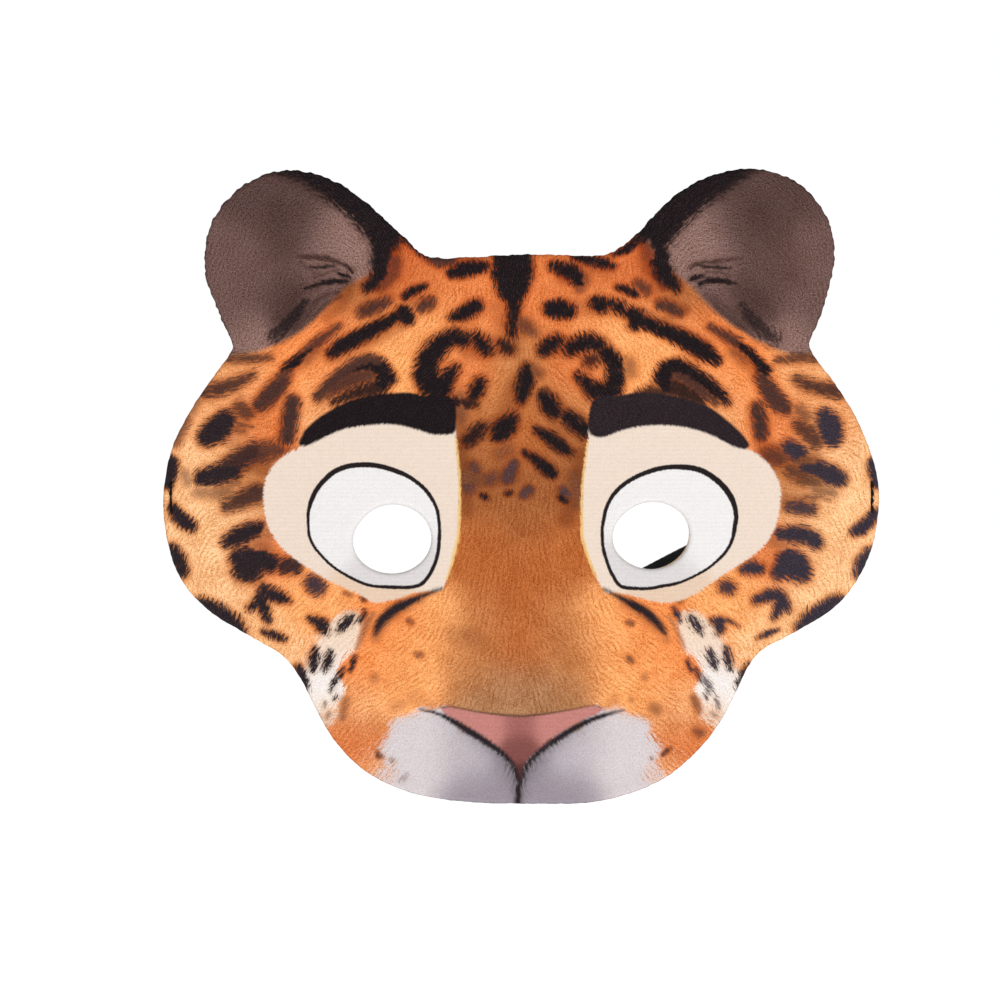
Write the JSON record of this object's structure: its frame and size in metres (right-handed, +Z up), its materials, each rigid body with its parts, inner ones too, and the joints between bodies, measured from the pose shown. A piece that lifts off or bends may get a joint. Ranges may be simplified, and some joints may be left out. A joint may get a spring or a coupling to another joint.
{
  "type": "animal face mask",
  "caption": "Flat plush wild-cat face mask with round ears, two oval eye holes and a flat elastic head strap sewn on behind, which hangs down or flips up.",
  "frame": {"origin": "midway between the eye holes, on the lining's face, which lies against the wearer's face", "axes": "+Z up towards the ears, +X to the right of someone looking at the printed face, +Y back towards the wearer"},
  "size_m": [0.2104, 0.0294, 0.1866],
  "materials": {
    "printed_plush": "short-pile plush with a printed animal face",
    "foam": "thin tan foam, seen only at cut edges",
    "felt": "matt non-woven felt",
    "elastic": "black knitted elastic tape",
    "thread": "black sewing thread"
  },
  "bodies": {
    "mask": {"face_plush": "printed_plush", "foam_core": "foam", "back_lining": "felt", "needle_thread_left": "thread", "needle_thread_right": "thread", "bobbin_thread_left": "thread", "bobbin_thread_right": "thread", "strap_end_left": "elastic", "strap_end_right": "elastic"},
    "strap": {"strap_loop": "elastic"}
  },
  "joints": [
    {"name": "strap_swing", "type": "hinge", "parent": "mask", "child": "strap", "pos_m": [0, 0.005, 0.0109], "axis": [1, 0, 0], "range_deg": [0, 150]}
  ]
}
